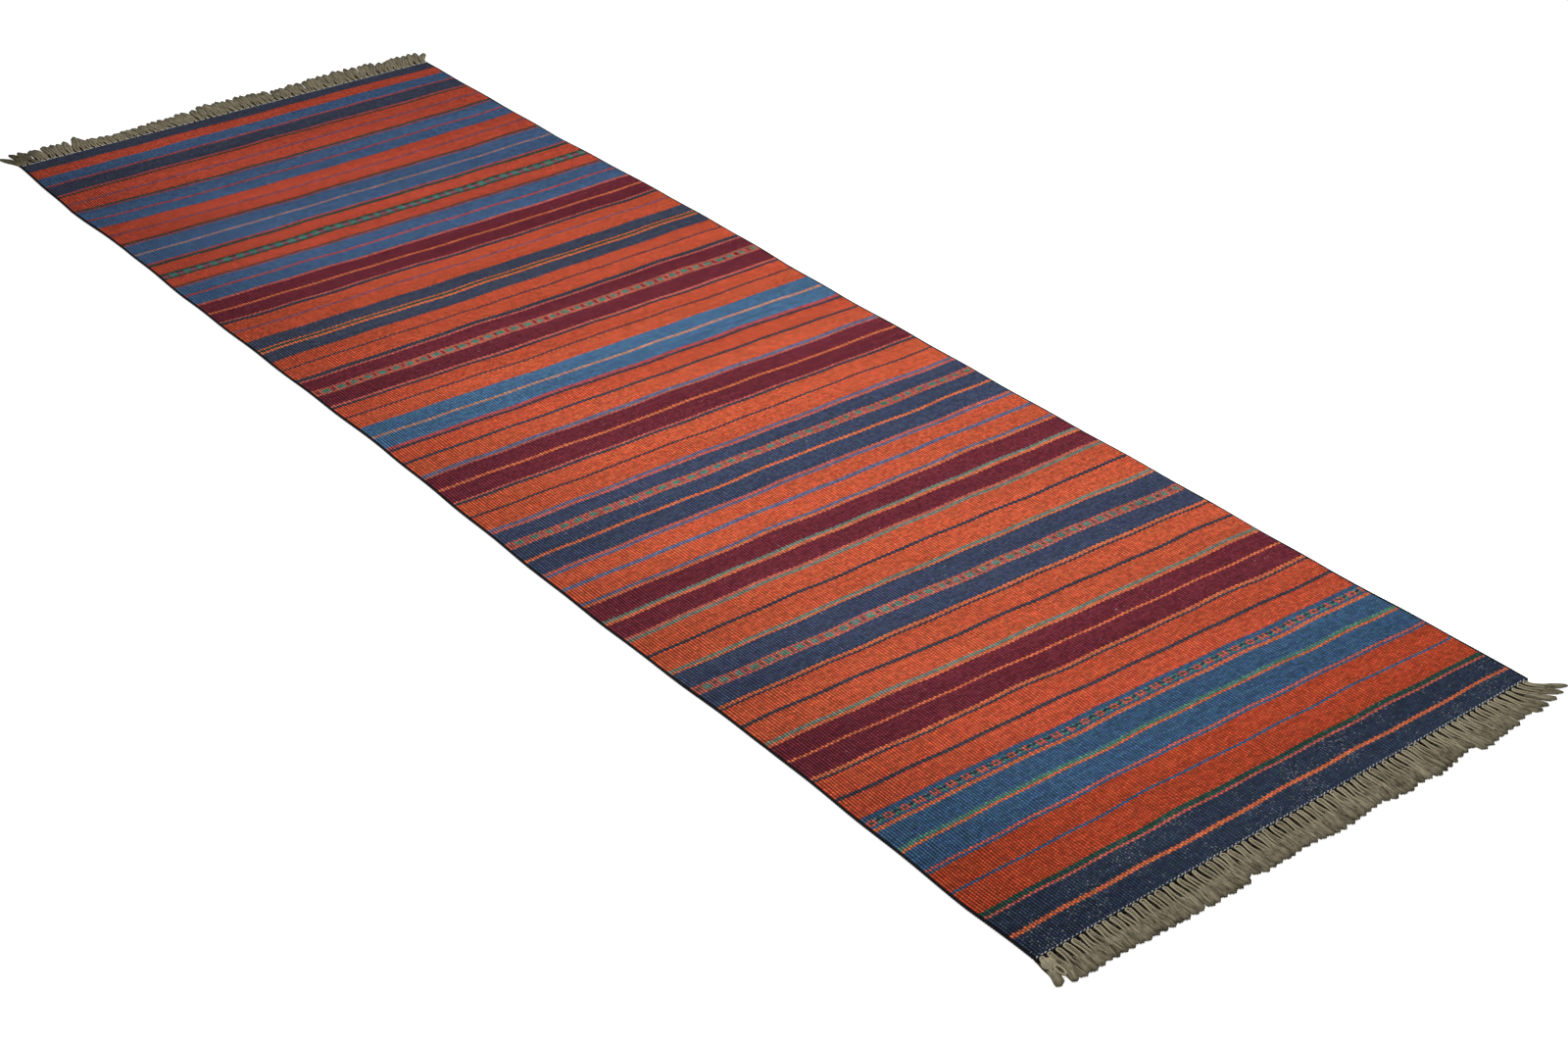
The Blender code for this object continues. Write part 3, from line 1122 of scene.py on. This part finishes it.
class Shader:
    """A material's node tree, with short calls to add and link nodes."""

    def __init__(self, name):
        self.material = bpy.data.materials.new(name)
        self.material.use_nodes = True
        self.tree = self.material.node_tree
        self.surface = self.tree.nodes["Principled BSDF"]

    def node(self, kind, **settings):
        node = self.tree.nodes.new("ShaderNode" + kind)
        for key, value in settings.items():
            setattr(node, key, value)
        return node

    def link(self, source, target):
        self.tree.links.new(source, target)

    def attribute(self, name):
        return self.node("Attribute", attribute_name=name)

    def noise(self, scale, detail, stretch=(1, 1, 1)):
        """Noise over the object's own coordinates, in cells per metre."""
        place = self.node("TexCoord").outputs["Object"]
        mapping = self.node("Mapping")
        mapping.inputs["Scale"].default_value = stretch
        noise = self.node("TexNoise")
        noise.inputs["Scale"].default_value = scale
        noise.inputs["Detail"].default_value = detail
        self.link(place, mapping.inputs["Vector"])
        self.link(mapping.outputs["Vector"], noise.inputs["Vector"])
        return noise.outputs["Fac"]

    def map(self, value, low, high, to_low, to_high):
        """The value with its range from low to high stretched or squeezed to another range."""
        node = self.node("MapRange")
        ranges = {"From Min": low, "From Max": high, "To Min": to_low, "To Max": to_high}
        for key, number in ranges.items():
            node.inputs[key].default_value = number
        self.link(value, node.inputs["Value"])
        return node.outputs["Result"]

    def combine(self, operation, first, second, **settings):
        """Two values put together by a maths node, such as MULTIPLY."""
        node = self.node("Math", operation=operation, **settings)
        self.link(first, node.inputs[0])
        self.link(second, node.inputs[1])
        return node.outputs["Value"]

    def tinted(self, colour, strength):
        """Colour times a grey value."""
        node = self.node("VectorMath", operation="SCALE")
        self.link(colour, node.inputs["Vector"])
        self.link(strength, node.inputs["Scale"])
        return node.outputs["Vector"]

    def blend(self, factor, first, second):
        """From the first sRGB colour to the second as the factor goes from 0 to 1."""
        node = self.node("Mix", data_type="RGBA")
        node.inputs["A"].default_value = (*linear(first), 1)
        node.inputs["B"].default_value = (*linear(second), 1)
        self.link(factor, node.inputs["Factor"])
        return node.outputs["Result"]

    def bump(self, height, distance, strength):
        node = self.node("Bump")
        node.inputs["Strength"].default_value = strength
        node.inputs["Distance"].default_value = distance
        self.link(height, node.inputs["Height"])
        self.link(node.outputs["Normal"], self.surface.inputs["Normal"])

    def finish(self, roughness, gloss):
        self.surface.inputs["Roughness"].default_value = roughness
        self.surface.inputs["Specular IOR Level"].default_value = gloss


def weave_material():
    shader = Shader("flatweave_wool")
    fibres = shader.noise(2300, 4, (0.35, 1, 1))
    mottle = shader.noise(420, 3)
    # Painted light and shade: the lift attribute darkens the yarn colour in the valleys and between
    # floats and brightens it on the crowns.
    painted_light = shader.map(shader.attribute("lift").outputs["Fac"], 0, 0.9, VALLEY_SHADE, CROWN_SHADE)
    light = shader.combine("MULTIPLY", shader.map(fibres, 0.3, 0.7, 0.8, 1.2), painted_light)
    light = shader.combine("MULTIPLY", light, shader.map(mottle, 0.3, 0.7, 0.92, 1.08))
    colour = shader.tinted(shader.attribute("yarn").outputs["Color"], light)
    shader.link(colour, shader.surface.inputs["Base Color"])
    shader.bump(fibres, 0.0004, 0.6)
    shader.finish(*WOOL_FINISH)
    return shader.material


def yarn_material(name, shadow, light_tone, stretch=(1, 1, 1)):
    """Loose or corded wool, from its colour in the shadow of other yarns to its colour in the light."""
    shader = Shader(name)
    fibres = shader.map(shader.noise(1700, 4, stretch), 0.3, 0.7, -0.14, 0.14)
    patches = shader.map(shader.noise(120, 3), 0.3, 0.7, -0.10, 0.10)
    grain = shader.combine("ADD", fibres, patches)
    shade = shader.combine("ADD", shader.attribute("shade").outputs["Fac"], grain, use_clamp=True)
    tone = shader.blend(shade, shadow, light_tone)
    shader.link(tone, shader.surface.inputs["Base Color"])
    shader.bump(fibres, 0.0005, 0.6)
    shader.finish(*WOOL_FINISH)
    return shader.material


def floor_material():
    shader = Shader("studio_floor")
    tone = shader.blend(shader.noise(3, 2), (0.955, 0.955, 0.955), (0.965, 0.965, 0.965))
    shader.link(tone, shader.surface.inputs["Base Color"])
    shader.finish(*FLOOR_FINISH)
    shader.surface.inputs["Emission Color"].default_value = (1, 1, 1, 1)
    shader.surface.inputs["Emission Strength"].default_value = FLOOR_GLOW
    return shader.material


# --- Studio ------------------------------------------------------------------------------------


def add_camera():
    heading, down = math.radians(CAMERA_HEADING), math.radians(CAMERA_DOWN)
    ahead = Vector(
        (math.sin(heading) * math.cos(down), math.cos(heading) * math.cos(down), -math.sin(down))
    )
    right = Vector((math.cos(heading), -math.sin(heading), 0))
    up = right.cross(ahead)
    roll = math.radians(CAMERA_ROLL)
    tilted_right = right * math.cos(roll) + up * math.sin(roll)
    tilted_up = up * math.cos(roll) - right * math.sin(roll)
    data = bpy.data.cameras.new("camera")
    data.lens = LENS_MM
    data.sensor_width = SENSOR_MM
    camera = bpy.data.objects.new("camera", data)
    axes = Matrix((tilted_right, tilted_up, -ahead)).transposed()
    camera.matrix_world = Matrix.Translation(CAMERA_PLACE) @ axes.to_4x4()
    bpy.context.scene.collection.objects.link(camera)
    bpy.context.scene.camera = camera


def add_key_light():
    data = bpy.data.lights.new("key", "AREA")
    data.size = KEY_SIZE
    data.energy = KEY_POWER
    light = bpy.data.objects.new("key", data)
    light.location = KEY_PLACE
    aim = Vector(KEY_TARGET) - Vector(KEY_PLACE)
    light.rotation_euler = aim.to_track_quat("-Z", "Y").to_euler()
    bpy.context.scene.collection.objects.link(light)


def add_floor():
    mesh = bpy.data.meshes.new("floor")
    corners = [(FLOOR_REACH * x, FLOOR_REACH * y, FLOOR_HEIGHT) for x, y in SQUARE]
    mesh.from_pydata(corners, [], [(0, 1, 2, 3)])
    mesh.materials.append(floor_material())
    floor = bpy.data.objects.new("floor", mesh)
    bpy.context.scene.collection.objects.link(floor)


def add_sky_light():
    world = bpy.data.worlds.new("studio")
    world.use_nodes = True
    world.node_tree.nodes["Background"].inputs["Color"].default_value = (1, 1, 1, 1)
    world.node_tree.nodes["Background"].inputs["Strength"].default_value = SKY_LIGHT
    bpy.context.scene.world = world


MATERIALS = {
    "weave": weave_material(),
    "fringe": yarn_material("undyed_warp_wool", (0.13, 0.11, 0.07), (0.70, 0.66, 0.555), (1, 0.15, 1)),
    "dark": yarn_material("dark_binding_wool", (0.02, 0.02, 0.02), (0.12, 0.12, 0.13)),
    "pale": yarn_material("pale_stitch_wool", (0.45, 0.43, 0.40), (0.86, 0.85, 0.82)),
}

folds = (fold("near", NEAR_FOLD_BAND, -NEAR_BEND), fold("far", FAR_FOLD_BAND, FAR_BEND))

add_weave(folds)
for side in ("left", "right"):
    for section in ("near", "middle", "far"):
        add_selvedge(f"selvedge_{side}_{section}", folds)
for end, direction in (("near", -1), ("far", 1)):
    add_end_cord("end_cord_" + end)
    add_knots(end, direction)
    add_fringe(end, direction)
add_camera()
add_key_light()
add_floor()
add_sky_light()
bpy.context.scene.view_settings.view_transform = "Standard"
